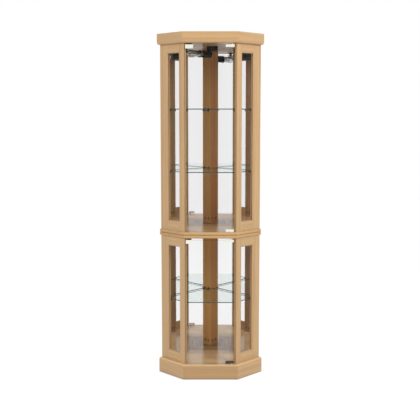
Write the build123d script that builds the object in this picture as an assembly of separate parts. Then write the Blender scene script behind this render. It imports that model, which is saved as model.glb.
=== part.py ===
from build123d import *
import os
from math import sqrt, tan, radians

# Corner curio cabinet: two glazed units stacked, each a pentagon in plan, with mirrors on its two backs.
# Millimetres. +Z up, the front faces -Y, and the origin is the middle of the base of the bounding box.

# Plan of the carcass
HALF_WIDTH = 262.5
FRONT_HALF = 134.5
BOARD_OVERHANG = 8.0
PLINTH_OVERHANG = 20.0
WAIST_OVERHANG = 10.0
CORNICE_OVERHANG = 22.0

# Heights
GLIDE_HEIGHT = 3.0
PLINTH_HEIGHT = 75.0
LOWER_CLEAR_HEIGHT = 669.0
UPPER_CLEAR_HEIGHT = 964.0
CORNICE_HEIGHT = 56.0
BOARD_THICKNESS = 16.5

# Side frames
FRAME_THICKNESS = 15.0
FRONT_STILE_WIDTH = 42.0
REAR_STILE_WIDTH = 19.5
RAIL_HEIGHT_TOP_LOWER = 51.0
RAIL_HEIGHT_BOTTOM = 50.0
RAIL_HEIGHT_TOP_UPPER = 46.0
BEVEL_WIDTH = 8.0
BEVEL_DEPTH = 5.0
PANE_THICKNESS = 3.0
PANE_BITE = 6.0
PANE_SETBACK = 7.0

# Posts, mirrors and back boards
SIDE_POST_DEPTH = 36.0
CENTRE_POST_SIZE = 40.0
BACK_LIP = 5.0
MIRROR_THICKNESS = 3.0
BACK_BOARD_THICKNESS = 3.0
GROOVE_DEPTH = 8.0
FIT_GAP = 0.2

# Mouldings
PLINTH_ROUND = 10.0
BEAD_ROUND = 7.0
CORNICE_ROUND_HEIGHT = 20.0
CORNICE_ROUND_DEPTH = 10.0
CORNICE_TOP_ROUND = 2.5
REAR_RAIL_THICKNESS = 16.0
REAR_RAIL_DROP = 8.0

# Glides under the plinth
GLIDE_RADIUS = 8.0
GLIDE_FOLD_INSET = 2.0
GLIDE_SIDE_INSET = 19.0
GLIDE_SIDE_SETBACK = 3.0

# Glass shelves, as heights of the underside above the floor of their unit
SHELF_THICKNESS = 5.0
LOWER_SHELF_RISE = 324.5
UPPER_SHELF_RISES = (305.5, 630.5)
SHELF_FRONT_SETBACK = 14.0
SHELF_SIDE_GAP = 4.0
SHELF_BACK_GAP = 12.0
SHELF_POST_GAP = 3.0
SHELF_EDGE_CHAMFER = 0.5

# Shelf supports
PEG_RADIUS = 2.5
PEG_LENGTH = 8.0
PEG_CLEARANCE = 0.05
SUPPORT_WIDTH = 11.0
SUPPORT_PLATE_HEIGHT = 16.0
SUPPORT_PLATE_THICKNESS = 2.0
SUPPORT_REST_LENGTH = 12.0
SUPPORT_REST_HEIGHT = 7.0
FRONT_SUPPORT_ALONG = 20.0

# Doors
DOOR_GLASS_THICKNESS = 5.0
DOOR_LEFT_GAP = 7.0
DOOR_RIGHT_GAP = 13.0
DOOR_HEAD_GAP = 5.0
DOOR_PROUD = 1.0
DOOR_EDGE_CHAMFER = 0.6

# Pivot hinges
PIVOT_INSET = 11.0
CLIP_LENGTH = 43.0
CLIP_DEPTH = 10.0
CLIP_HEIGHT = 12.5
CLIP_WEB = 1.5
CLIP_SLOT_GAP = 0.1
CLIP_ROUND = 1.5
PIN_RADIUS = 3.0
PIN_ENGAGEMENT = 6.0
PIN_CLEARANCE = 0.05
PIN_END_GAP = 1.0
BUSH_RADIUS = 4.5
BUSH_DEPTH = 8.0
BUSH_FLANGE_RADIUS = 7.0
BUSH_FLANGE = 2.0
BUSH_RUNNING_GAP = 0.3

# Strike plates and touch latches
STRIKE_LENGTH = 40.0
STRIKE_HEIGHT = 19.0
STRIKE_WALL = 1.0
STRIKE_OVERLAP = 0.5
LATCH_WIDTH = 15.0
LATCH_AXIS_BELOW_GLASS_TOP = 5.0
LATCH_BELOW_AXIS = 6.5
LATCH_LENGTH = 60.0
LATCH_STANDOFF = 10.0
LATCH_FLANGE_WIDTH = 30.0
LATCH_FLANGE_THICKNESS = 2.5
LATCH_PLUNGER_RADIUS = 4.0
LATCH_PLUNGER_CLEARANCE = 0.05
LATCH_PLUNGER_IN = 30.0
LATCH_HEAD_RADIUS = 5.5
LATCH_HEAD_LENGTH = 3.0
LATCH_REST_GAP = 0.3
LATCH_TRAVEL = 3.0

# Lamp on the ceiling of the upper unit, parallel with the left back, placed from the rear corner
LAMP_BASE_RADIUS = 30.0
LAMP_BASE_HEIGHT = 24.0
LAMP_BASE_ROUND = 4.0
LAMP_BASE_X = 9.0
LAMP_BASE_TO_CORNER = 171.5
LAMP_NECK_REACH = 20.0
LAMP_NECK_RADIUS = 6.0
SOCKET_RADIUS = 18.5
SOCKET_LENGTH = 76.0
SOCKET_REAR = 2.0
SOCKET_RING_RADIUS = 19.5
SOCKET_RING_LENGTH = 7.0
SOCKET_MOUTH_RADIUS = 13.5
SOCKET_MOUTH_DEPTH = 22.0
BULB_RADIUS = 16.0
BULB_LENGTH = 86.0
BULB_CAP_RADIUS = 12.5
GROMMET_RADIUS = 9.0
GROMMET_HOLE_RADIUS = 4.0
GROMMET_FLANGE_RADIUS = 12.0
GROMMET_FLANGE = 2.0
GROMMET_MEMBRANE = 1.5

# Bolts that hold the upper unit on the lower one
BOLT_RADIUS = 3.0
BOLT_HEAD_RADIUS = 8.0
BOLT_HEAD_HEIGHT = 3.0
BOLT_INSET = 62.0
BOLT_CLEARANCE = 0.05
BOLT_BLIND = 4.0

# How far a cutter runs past an open end, and the sweep of a quarter arc in degrees
CUT_OVERRUN = 1.0
QUARTER_TURN = 90

# Places that follow from the sizes above
TOTAL_DEPTH = 2 * HALF_WIDTH - FRONT_HALF + CORNICE_OVERHANG
FRONT_Y = -TOTAL_DEPTH / 2 + CORNICE_OVERHANG
RUN = HALF_WIDTH - FRONT_HALF
SIDE_Y = FRONT_Y + RUN
REAR_Y = SIDE_Y + HALF_WIDTH
RETURN_LENGTH = RUN * sqrt(2)
BACK_LENGTH = HALF_WIDTH * sqrt(2)
FOLD_MITRE = tan(radians(22.5))

PLINTH_TOP = GLIDE_HEIGHT + PLINTH_HEIGHT
LOWER_FLOOR = PLINTH_TOP
LOWER_CEILING = LOWER_FLOOR + LOWER_CLEAR_HEIGHT
UPPER_FLOOR = LOWER_CEILING + 2 * BOARD_THICKNESS
UPPER_CEILING = UPPER_FLOOR + UPPER_CLEAR_HEIGHT
CORNICE_TOP = UPPER_CEILING + CORNICE_HEIGHT

FRAME_LENGTH = RETURN_LENGTH - SIDE_POST_DEPTH
MIRROR_BACK = BACK_LIP + BACK_BOARD_THICKNESS + FIT_GAP
MIRROR_FACE = MIRROR_BACK + MIRROR_THICKNESS
GROOVE_WIDTH = MIRROR_FACE + FIT_GAP - BACK_LIP
DOOR_LEFT = DOOR_LEFT_GAP - FRONT_HALF
DOOR_RIGHT = FRONT_HALF - DOOR_RIGHT_GAP
DOOR_FRONT = FRONT_Y - DOOR_PROUD
DOOR_BACK = DOOR_FRONT + DOOR_GLASS_THICKNESS
DOOR_MIDDLE = (DOOR_FRONT + DOOR_BACK) / 2
PIVOT_X = DOOR_RIGHT - PIVOT_INSET
DOOR_MARGIN = BUSH_FLANGE + BUSH_RUNNING_GAP + CLIP_WEB
DOOR_HEAD_MARGIN = DOOR_MARGIN + DOOR_HEAD_GAP
STRIKE_BACK = DOOR_BACK + STRIKE_WALL
LATCH_X = DOOR_LEFT + STRIKE_LENGTH / 2
LATCH_FRONT = STRIKE_BACK + LATCH_STANDOFF
LAMP_BASE_Y = REAR_Y - LAMP_BASE_TO_CORNER
LAMP_NECK_X = LAMP_BASE_X - LAMP_NECK_REACH / sqrt(2)
LAMP_NECK_Y = LAMP_BASE_Y - LAMP_NECK_REACH / sqrt(2)
LAMP_AXIS_Z = UPPER_CEILING - LAMP_BASE_HEIGHT - SOCKET_RADIUS

# Local frames of the right side: x runs along the face, y points into the cabinet
RETURN_FRAME = Location((FRONT_HALF, FRONT_Y, 0), (0, 0, 45))
BACK_FRAME = Location((HALF_WIDTH, SIDE_Y, 0), (0, 0, 135))


def block(x0, x1, y0, y1, z0, z1):
    """A box between two corners."""
    centre = Pos((x0 + x1) / 2, (y0 + y1) / 2, (z0 + z1) / 2)
    return centre * Box(x1 - x0, y1 - y0, z1 - z0)


def prism(points, z0, z1):
    """A plan outline, raised from z0 to z1."""
    face = make_face(Polyline(*[(x, y, z0) for x, y in points], close=True))
    return extrude(face, amount=z1 - z0, dir=(0, 0, 1))


def upright(radius, x, y, z0, z1):
    """A vertical cylinder."""
    return Pos(x, y, (z0 + z1) / 2) * Cylinder(radius, z1 - z0)


def along_y(radius, x, z, y0, y1):
    """A cylinder that points to the front and the rear."""
    return Pos(x, (y0 + y1) / 2, z) * Rot(90, 0, 0) * Cylinder(radius, y1 - y0)


def on_left(solid):
    """The mirror image of a right-hand piece."""
    return mirror(solid, about=Plane.YZ)


def plan(overhang):
    """The pentagon of the carcass, grown at the front and the returns and flush at the backs."""
    fold_x = FRONT_HALF + overhang * FOLD_MITRE
    fold_y = FRONT_Y - overhang
    side_x = HALF_WIDTH + overhang / sqrt(2)
    side_y = SIDE_Y - overhang / sqrt(2)
    return [(-fold_x, fold_y), (fold_x, fold_y), (side_x, side_y), (0, REAR_Y), (-side_x, side_y)]


def save(node, shape):
    """Writes one node as a STEP file."""
    solids = shape.solids()
    export_step(solids[0] if len(solids) == 1 else Compound(children=list(solids)), f"parts/{node}.step")


# Mouldings: a profile run along a face and cut to a mitre at each end


def moulding(profile, length, overhang, mitre_start, mitre_end, z0, z1):
    """A moulded board in a local frame, from a profile in its y and z, outside the horizontal boards."""
    bar = Pos(-overhang, 0, 0) * extrude(Plane.YZ * profile, amount=length + 2 * overhang)
    outline = [
        (-BOARD_OVERHANG * mitre_start, -BOARD_OVERHANG),
        (length + BOARD_OVERHANG * mitre_end, -BOARD_OVERHANG),
        (length + overhang * mitre_end, -overhang),
        (-overhang * mitre_start, -overhang),
    ]
    return bar & prism(outline, z0, z1)


def plinth_profile():
    """Square below, with a rounded top edge."""
    z0 = GLIDE_HEIGHT
    z1 = PLINTH_TOP
    inner = -BOARD_OVERHANG
    outer = -PLINTH_OVERHANG
    corner = (outer + PLINTH_ROUND, z1 - PLINTH_ROUND)
    sides = [(outer, corner[1]), (outer, z0), (inner, z0), (inner, z1), (corner[0], z1)]
    path = [Polyline(*sides), CenterArc(corner, PLINTH_ROUND, QUARTER_TURN, QUARTER_TURN)]
    return make_face(path)


def cornice_profile():
    """An upright face with a rounded lower edge and a softened top edge."""
    z0 = UPPER_CEILING
    z1 = CORNICE_TOP
    inner = -BOARD_OVERHANG
    outer = -CORNICE_OVERHANG
    belly = (outer + CORNICE_ROUND_DEPTH, z0 + CORNICE_ROUND_HEIGHT)
    top = (outer + CORNICE_TOP_ROUND, z1 - CORNICE_TOP_ROUND)
    path = [
        EllipticalCenterArc(
            belly, CORNICE_ROUND_DEPTH, CORNICE_ROUND_HEIGHT, 2 * QUARTER_TURN, arc_size=QUARTER_TURN
        ),
        Polyline((belly[0], z0), (inner, z0), (inner, z1), (top[0], z1)),
        CenterArc(top, CORNICE_TOP_ROUND, QUARTER_TURN, QUARTER_TURN),
        Line((outer, top[1]), (outer, belly[1])),
    ]
    return make_face(path)


def moulding_set(profile, overhang, z0, z1):
    """The front, left and right boards of a plinth or cornice."""
    front_frame = Location((-FRONT_HALF, FRONT_Y, 0))
    front = front_frame * moulding(profile, 2 * FRONT_HALF, overhang, FOLD_MITRE, FOLD_MITRE, z0, z1)
    right = RETURN_FRAME * moulding(profile, RETURN_LENGTH, overhang, FOLD_MITRE, 0, z0, z1)
    return front, on_left(right), right


def rear_rails(z0, z1):
    """Two boards along the backs, mitred at the rear corner."""
    inner_end = BACK_LENGTH - REAR_RAIL_THICKNESS
    outline = [(0, 0), (BACK_LENGTH, 0), (inner_end, REAR_RAIL_THICKNESS), (0, REAR_RAIL_THICKNESS)]
    right = BACK_FRAME * prism(outline, z0, z1)
    return Compound(children=[right, on_left(right)])


# Horizontal boards


def bead_board(z0):
    """A board whose front and return edges are bull-nosed."""
    z1 = z0 + BOARD_THICKNESS
    board = prism(plan(WAIST_OVERHANG), z0, z1)
    outer = [edge for edge in board.edges() if is_outer_edge(edge)]
    return fillet(outer, BEAD_ROUND)


def is_outer_edge(edge):
    """True for a level edge on the front or a return, and not on a back."""
    middle = edge.position_at(0.5)
    level = abs(edge.tangent_at(0.5).Z) < 0.5
    on_back = abs(abs(middle.X) + middle.Y - REAR_Y) < 0.1
    return level and not on_back


def pivot_hole(z0, z1):
    """The hole for a hinge bush, on the pivot line."""
    return upright(BUSH_RADIUS + PIN_CLEARANCE, PIVOT_X, DOOR_MIDDLE, z0, z1)


def bolt_places():
    """The stacking bolts, one beside each outer corner post and one before the centre post."""
    side_x = HALF_WIDTH - BOLT_INSET
    return [(side_x, SIDE_Y), (-side_x, SIDE_Y), (0, REAR_Y - 2 * BOLT_INSET)]


def bolt_end():
    """The height where the bolts end, inside the upper unit's floor."""
    return UPPER_FLOOR - BOLT_BLIND


def with_bolt_holes(board):
    """A board with the holes of the stacking bolts."""
    for x, y in bolt_places():
        board -= upright(BOLT_RADIUS + BOLT_CLEARANCE, x, y, LOWER_CEILING, bolt_end())
    return board


# Side frames


def frame_panel(z0, z1, bottom_rail, top_rail):
    """A whole right-hand frame in its local frame: window, bevel and groove, before it is parted."""
    w0 = z0 + bottom_rail
    w1 = z1 - top_rail
    x0 = FRONT_STILE_WIDTH
    x1 = FRAME_LENGTH - REAR_STILE_WIDTH
    panel = block(0, FRAME_LENGTH, 0, FRAME_THICKNESS, z0, z1)
    panel -= block(x0, x1, 0, FRAME_THICKNESS, w0, w1)
    panel -= bevel_cutter(x0, x1, w0, w1)
    groove_back = PANE_SETBACK + PANE_THICKNESS + FIT_GAP
    panel -= block(x0 - PANE_BITE, x1 + PANE_BITE, PANE_SETBACK, groove_back, w0 - PANE_BITE, w1 + PANE_BITE)
    return panel


def bevel_cutter(x0, x1, w0, w1):
    """A frustum that bevels the outer edges of the window."""
    outer = window_face(x0 - BEVEL_WIDTH, x1 + BEVEL_WIDTH, w0 - BEVEL_WIDTH, w1 + BEVEL_WIDTH, 0)
    inner = window_face(x0, x1, w0, w1, BEVEL_DEPTH)
    return loft([outer, inner])


def window_face(x0, x1, z0, z1, y):
    """An upright rectangle at a depth y."""
    return make_face(Polyline((x0, y, z0), (x1, y, z0), (x1, y, z1), (x0, y, z1), close=True))


def frame_pieces(z0, z1, bottom_rail, top_rail, shelf_heights):
    """The front stile, rear stile and pair of rails of a right-hand frame, parted from the panel."""
    panel = frame_panel(z0, z1, bottom_rail, top_rail)
    x0 = FRONT_STILE_WIDTH
    x1 = FRAME_LENGTH - REAR_STILE_WIDTH
    middle = (z0 + z1) / 2
    front = panel & block(0, x0, 0, FRAME_THICKNESS, z0, z1)
    rear = panel & block(x1, FRAME_LENGTH, 0, FRAME_THICKNESS, z0, z1)
    low_rail = panel & block(x0, x1, 0, FRAME_THICKNESS, z0, middle)
    high_rail = panel & block(x0, x1, 0, FRAME_THICKNESS, middle, z1)
    for height in shelf_heights:
        front -= peg_hole(FRONT_SUPPORT_ALONG, height)
        rear -= peg_hole(rear_support_along(), height)
    return front, rear, low_rail, high_rail


def rear_support_along():
    """The middle of the rear stile."""
    return FRAME_LENGTH - REAR_STILE_WIDTH / 2


def peg_height(shelf_underside):
    """The peg's axis, in the middle of the rest below the shelf."""
    return shelf_underside - SUPPORT_REST_HEIGHT / 2


def peg_hole(along, shelf_underside):
    """A blind hole for a shelf support in the inner face of a stile."""
    top = FRAME_THICKNESS
    return along_y(PEG_RADIUS + PEG_CLEARANCE, along, peg_height(shelf_underside), top - PEG_LENGTH, top)


def window_pane(z0, z1, bottom_rail, top_rail):
    """The glass of a side window, standing in the groove of its frame."""
    bite = PANE_BITE - FIT_GAP
    x0 = FRONT_STILE_WIDTH - bite
    x1 = FRAME_LENGTH - REAR_STILE_WIDTH + bite
    y0 = PANE_SETBACK + FIT_GAP / 2
    return block(x0, x1, y0, y0 + PANE_THICKNESS, z0 + bottom_rail - PANE_BITE, z1 - top_rail + bite)


# Posts and backs


def groove(x0, x1, z0, z1):
    """The slot that holds a mirror and its back board, in the back frame."""
    return block(x0, x1, BACK_LIP, BACK_LIP + GROOVE_WIDTH, z0, z1)


def side_post(z0, z1):
    """The right-hand outer corner post."""
    body = block(0, SIDE_POST_DEPTH, 0, SIDE_POST_DEPTH, z0, z1)
    body -= groove(SIDE_POST_DEPTH - GROOVE_DEPTH, SIDE_POST_DEPTH, z0, z1)
    return BACK_FRAME * body


def centre_post(z0, z1, shelf_heights):
    """The square post in the rear corner, grooved on both sides."""
    start = BACK_LENGTH - CENTRE_POST_SIZE
    body = BACK_FRAME * block(start, BACK_LENGTH, 0, CENTRE_POST_SIZE, z0, z1)
    right_groove = BACK_FRAME * groove(start, start + GROOVE_DEPTH, z0, z1)
    body -= right_groove
    body -= on_left(right_groove)
    for height in shelf_heights:
        body -= on_left(BACK_FRAME * centre_peg(height, PEG_RADIUS + PEG_CLEARANCE))
    return body


def centre_support_depth():
    """The middle of the post's face in front of the mirror."""
    return (MIRROR_FACE + CENTRE_POST_SIZE) / 2


def centre_peg(shelf_underside, radius):
    """A peg in the centre post's face, in the back frame."""
    start = BACK_LENGTH - CENTRE_POST_SIZE
    place = Pos(start + PEG_LENGTH / 2, centre_support_depth(), peg_height(shelf_underside))
    return place * Rot(0, 90, 0) * Cylinder(radius, PEG_LENGTH)


def back_panel(y0, thickness, z0, z1):
    """A sheet in the grooves, from the side post to the centre post, in the back frame."""
    x0 = SIDE_POST_DEPTH - GROOVE_DEPTH + FIT_GAP
    x1 = BACK_LENGTH - CENTRE_POST_SIZE + GROOVE_DEPTH - FIT_GAP
    return BACK_FRAME * block(x0, x1, y0, y0 + thickness, z0, z1)


# Shelves and their supports


def shelf(underside):
    """A glass shelf that follows the room inside and is notched round the three posts."""
    z1 = underside + SHELF_THICKNESS
    front_y = FRONT_Y + SHELF_FRONT_SETBACK
    side_offset = FRAME_THICKNESS + SHELF_SIDE_GAP
    back_offset = MIRROR_FACE + SHELF_BACK_GAP
    return_line = FRONT_HALF - FRONT_Y - side_offset * sqrt(2)
    back_line = REAR_Y - back_offset * sqrt(2)
    side_x = (return_line + back_line) / 2
    outline = [
        (-(return_line + front_y), front_y),
        (return_line + front_y, front_y),
        (side_x, back_line - side_x),
        (0, back_line),
        (-side_x, back_line - side_x),
    ]
    glass = prism(outline, underside, z1)
    side_reach = SIDE_POST_DEPTH + SHELF_POST_GAP
    centre_start = BACK_LENGTH - CENTRE_POST_SIZE - SHELF_POST_GAP
    centre_reach = CENTRE_POST_SIZE + SHELF_POST_GAP
    side_notch = BACK_FRAME * block(0, side_reach, 0, side_reach, underside, z1)
    glass -= side_notch
    glass -= on_left(side_notch)
    glass -= BACK_FRAME * block(centre_start, BACK_LENGTH, 0, centre_reach, underside, z1)
    return chamfer(glass.faces().sort_by(Axis.Z)[-1].edges(), SHELF_EDGE_CHAMFER)


def support_on_frame(along, underside):
    """A shelf support on the inner face of a right-hand stile, in the return frame."""
    z = peg_height(underside)
    wall = FRAME_THICKNESS
    peg = along_y(PEG_RADIUS, along, z, wall - PEG_LENGTH, wall)
    half = SUPPORT_WIDTH / 2
    bottom = underside - SUPPORT_REST_HEIGHT
    plate_top = bottom + SUPPORT_PLATE_HEIGHT
    plate = block(along - half, along + half, wall, wall + SUPPORT_PLATE_THICKNESS, bottom, plate_top)
    rest = block(along - half, along + half, wall, wall + SUPPORT_REST_LENGTH, bottom, underside)
    return RETURN_FRAME * (peg + plate + rest)


def support_on_centre(underside):
    """The shelf support on the left face of the centre post."""
    wall = BACK_LENGTH - CENTRE_POST_SIZE
    half = SUPPORT_WIDTH / 2
    depth = centre_support_depth()
    bottom = underside - SUPPORT_REST_HEIGHT
    plate_top = bottom + SUPPORT_PLATE_HEIGHT
    plate = block(wall - SUPPORT_PLATE_THICKNESS, wall, depth - half, depth + half, bottom, plate_top)
    rest = block(wall - SUPPORT_REST_LENGTH, wall, depth - half, depth + half, bottom, underside)
    return on_left(BACK_FRAME * (centre_peg(underside, PEG_RADIUS) + plate + rest))


def shelf_supports(underside):
    """The five supports of one shelf."""
    front = support_on_frame(FRONT_SUPPORT_ALONG, underside)
    rear = support_on_frame(rear_support_along(), underside)
    return [front, on_left(front), rear, on_left(rear), support_on_centre(underside)]


# Doors and their hardware


def door_glass(floor, ceiling):
    """A clear door with eased edges."""
    z0 = floor + DOOR_MARGIN
    z1 = ceiling - DOOR_HEAD_MARGIN
    glass = block(DOOR_LEFT, DOOR_RIGHT, DOOR_FRONT, DOOR_BACK, z0, z1)
    broad = glass.faces().filter_by(Axis.Y)
    return chamfer(broad.edges(), DOOR_EDGE_CHAMFER)


def hinge_clip(glass_edge, board_face, up):
    """A clip over the door's edge, with its pivot pin in the board. up is 1 at the top and -1 at the bottom."""
    outer = glass_edge + up * CLIP_WEB
    inner = outer - up * CLIP_HEIGHT
    low = min(outer, inner)
    high = max(outer, inner)
    half = CLIP_DEPTH / 2
    body = block(DOOR_RIGHT - CLIP_LENGTH, DOOR_RIGHT, DOOR_MIDDLE - half, DOOR_MIDDLE + half, low, high)
    body = fillet(body.edges().filter_by(Axis.Z), CLIP_ROUND)
    slot_half = DOOR_GLASS_THICKNESS / 2 + CLIP_SLOT_GAP
    slot_low = min(glass_edge, inner)
    slot_high = max(glass_edge, inner)
    slot_left = DOOR_RIGHT - CLIP_LENGTH - CUT_OVERRUN
    slot_right = DOOR_RIGHT + CUT_OVERRUN
    slot_front = DOOR_MIDDLE - slot_half
    slot_back = DOOR_MIDDLE + slot_half
    body -= block(slot_left, slot_right, slot_front, slot_back, slot_low, slot_high)
    tip = board_face + up * PIN_ENGAGEMENT
    return body + upright(PIN_RADIUS, PIVOT_X, DOOR_MIDDLE, min(outer, tip), max(outer, tip))


def hinge_bush(board_face, up):
    """A flanged bush in the board. up is 1 in a ceiling and -1 in a floor."""
    buried = board_face + up * BUSH_DEPTH
    lip = board_face - up * BUSH_FLANGE
    barrel = upright(BUSH_RADIUS, PIVOT_X, DOOR_MIDDLE, min(board_face, buried), max(board_face, buried))
    flange = upright(BUSH_FLANGE_RADIUS, PIVOT_X, DOOR_MIDDLE, min(board_face, lip), max(board_face, lip))
    bore_end = board_face + up * (PIN_ENGAGEMENT + PIN_END_GAP)
    bore_low = min(lip, bore_end)
    bore_high = max(lip, bore_end)
    bore = upright(PIN_RADIUS + PIN_CLEARANCE, PIVOT_X, DOOR_MIDDLE, bore_low, bore_high)
    return barrel + flange - bore


def strike_plate(ceiling):
    """A folded metal cap on the top left corner of the door."""
    glass_top = ceiling - DOOR_HEAD_MARGIN
    x0 = DOOR_LEFT - STRIKE_OVERLAP
    x1 = x0 + STRIKE_LENGTH
    z0 = glass_top - STRIKE_HEIGHT
    z1 = glass_top + STRIKE_WALL
    cap = block(x0, x1, DOOR_FRONT - STRIKE_WALL, DOOR_BACK + STRIKE_WALL, z0, z1)
    return cap - block(x0 - CUT_OVERRUN, x1 + CUT_OVERRUN, DOOR_FRONT, DOOR_BACK, z0, glass_top)


def latch_axis_height(ceiling):
    """The plunger's height, behind the upper half of the strike plate."""
    return ceiling - DOOR_HEAD_MARGIN - LATCH_AXIS_BELOW_GLASS_TOP


def latch_body(ceiling):
    """The housing of a touch latch, screwed to the ceiling behind the strike plate."""
    half = LATCH_WIDTH / 2
    rear = LATCH_FRONT + LATCH_LENGTH
    z = latch_axis_height(ceiling)
    housing = block(LATCH_X - half, LATCH_X + half, LATCH_FRONT, rear, z - LATCH_BELOW_AXIS, ceiling)
    flange_half = LATCH_FLANGE_WIDTH / 2
    flange_low = ceiling - LATCH_FLANGE_THICKNESS
    housing += block(LATCH_X - flange_half, LATCH_X + flange_half, LATCH_FRONT, rear, flange_low, ceiling)
    bore_end = LATCH_FRONT + LATCH_PLUNGER_IN + 2 * LATCH_TRAVEL
    housing -= along_y(LATCH_PLUNGER_RADIUS + LATCH_PLUNGER_CLEARANCE, LATCH_X, z, LATCH_FRONT, bore_end)
    return housing


def latch_plunger(ceiling):
    """The magnetic plunger, at rest just clear of the strike plate."""
    z = latch_axis_height(ceiling)
    tip = STRIKE_BACK + LATCH_REST_GAP
    rod = along_y(LATCH_PLUNGER_RADIUS, LATCH_X, z, tip, LATCH_FRONT + LATCH_PLUNGER_IN)
    head = along_y(LATCH_HEAD_RADIUS, LATCH_X, z, tip, tip + LATCH_HEAD_LENGTH)
    return rod + head


# Lamp


def lamp_base():
    """The round ceiling plate."""
    z0 = UPPER_CEILING - LAMP_BASE_HEIGHT
    body = upright(LAMP_BASE_RADIUS, LAMP_BASE_X, LAMP_BASE_Y, z0, UPPER_CEILING)
    return fillet(body.edges().filter_by(GeomType.CIRCLE).sort_by(Axis.Z)[0], LAMP_BASE_ROUND)


def lamp_axis():
    """The lamp's axis, through the neck and parallel with the left back."""
    return Plane(origin=(LAMP_NECK_X, LAMP_NECK_Y, LAMP_AXIS_Z), x_dir=(0, 0, 1), z_dir=(-1, -1, 0))


def on_lamp_axis(radius, start, end):
    """A cylinder on the lamp's axis."""
    return lamp_axis() * Pos(0, 0, (start + end) / 2) * Cylinder(radius, end - start)


def lamp_socket():
    """The socket with its neck, its light ring and its mouth."""
    neck_top = UPPER_CEILING - LAMP_BASE_HEIGHT
    shell = on_lamp_axis(SOCKET_RADIUS, -SOCKET_REAR, SOCKET_LENGTH)
    shell += on_lamp_axis(SOCKET_RING_RADIUS, SOCKET_LENGTH - SOCKET_RING_LENGTH, SOCKET_LENGTH)
    shell += upright(LAMP_NECK_RADIUS, LAMP_NECK_X, LAMP_NECK_Y, LAMP_AXIS_Z, neck_top)
    return shell - on_lamp_axis(SOCKET_MOUTH_RADIUS, SOCKET_LENGTH - SOCKET_MOUTH_DEPTH, SOCKET_LENGTH)


def lamp_bulb():
    """A tubular bulb with a round end, and its cap in the socket's mouth."""
    start = SOCKET_LENGTH
    neck = SOCKET_LENGTH - SOCKET_MOUTH_DEPTH
    tube = on_lamp_axis(BULB_RADIUS, start, start + BULB_LENGTH - BULB_RADIUS)
    dome = lamp_axis() * Pos(0, 0, start + BULB_LENGTH - BULB_RADIUS) * Sphere(BULB_RADIUS)
    return tube + dome + on_lamp_axis(BULB_CAP_RADIUS, neck, start)


def grommet():
    """A rubber grommet over the lamp's ceiling plate, for the lead, closed by a thin membrane."""
    z1 = UPPER_CEILING + BOARD_THICKNESS
    ring = upright(GROMMET_RADIUS, LAMP_BASE_X, LAMP_BASE_Y, UPPER_CEILING, z1)
    ring += upright(GROMMET_FLANGE_RADIUS, LAMP_BASE_X, LAMP_BASE_Y, z1, z1 + GROMMET_FLANGE)
    z0 = UPPER_CEILING + GROMMET_MEMBRANE
    return ring - upright(GROMMET_HOLE_RADIUS, LAMP_BASE_X, LAMP_BASE_Y, z0, z1 + GROMMET_FLANGE)


# Small parts in groups


def glides():
    """Round pads under the plinth, at its folds, side corners and rear corner."""
    fold = (FRONT_HALF - GLIDE_FOLD_INSET, FRONT_Y - PLINTH_OVERHANG / 2)
    side = (HALF_WIDTH - GLIDE_SIDE_INSET, SIDE_Y + GLIDE_SIDE_SETBACK)
    rear = (0, REAR_Y - REAR_RAIL_THICKNESS * sqrt(2) / 2)
    places = [fold, (-fold[0], fold[1]), side, (-side[0], side[1]), rear]
    return [upright(GLIDE_RADIUS, x, y, 0, GLIDE_HEIGHT) for x, y in places]


def stacking_bolts():
    """Bolts from below through the two waist boards, with their heads on the lower unit's ceiling."""
    bolts = []
    for x, y in bolt_places():
        shank = upright(BOLT_RADIUS, x, y, LOWER_CEILING, bolt_end())
        head = upright(BOLT_HEAD_RADIUS, x, y, LOWER_CEILING - BOLT_HEAD_HEIGHT, LOWER_CEILING)
        bolts.append(shank + head)
    return bolts


# One unit: everything between a floor and a ceiling


def save_unit(name, floor, ceiling, top_rail, shelves):
    """Writes the frames, panes, posts, mirrors, shelves and door of one unit."""
    front, rear, low, high = frame_pieces(floor, ceiling, RAIL_HEIGHT_BOTTOM, top_rail, shelves)
    pane = window_pane(floor, ceiling, RAIL_HEIGHT_BOTTOM, top_rail)
    right = {
        "front_stile": RETURN_FRAME * front,
        "rear_stile": RETURN_FRAME * rear,
        "rails": Compound(children=[RETURN_FRAME * low, RETURN_FRAME * high]),
        "window_glass": RETURN_FRAME * pane,
        "post": side_post(floor, ceiling),
        "mirror": back_panel(MIRROR_BACK, MIRROR_THICKNESS, floor, ceiling),
    }
    for piece, solid in right.items():
        save(f"{name}_right_{piece}", solid)
        save(f"{name}_left_{piece}", on_left(solid))
    board = back_panel(BACK_LIP, BACK_BOARD_THICKNESS, floor, ceiling)
    save(f"{name}_back_boards", Compound(children=[board, on_left(board)]))
    save(f"{name}_centre_post", centre_post(floor, ceiling, shelves))
    save(f"{name}_door_glass", door_glass(floor, ceiling))
    top_clip = hinge_clip(ceiling - DOOR_HEAD_MARGIN, ceiling, 1)
    bottom_clip = hinge_clip(floor + DOOR_MARGIN, floor, -1)
    save(f"{name}_door_hinges", Compound(children=[top_clip, bottom_clip]))
    save(f"{name}_door_strike", strike_plate(ceiling))
    save(f"{name}_latch_plunger", latch_plunger(ceiling))


os.makedirs("parts", exist_ok=True)

lower_shelf_height = LOWER_FLOOR + LOWER_SHELF_RISE
upper_shelf_heights = [UPPER_FLOOR + rise for rise in UPPER_SHELF_RISES]
save_unit("lower", LOWER_FLOOR, LOWER_CEILING, RAIL_HEIGHT_TOP_LOWER, [lower_shelf_height])
save_unit("upper", UPPER_FLOOR, UPPER_CEILING, RAIL_HEIGHT_TOP_UPPER, upper_shelf_heights)

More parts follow.
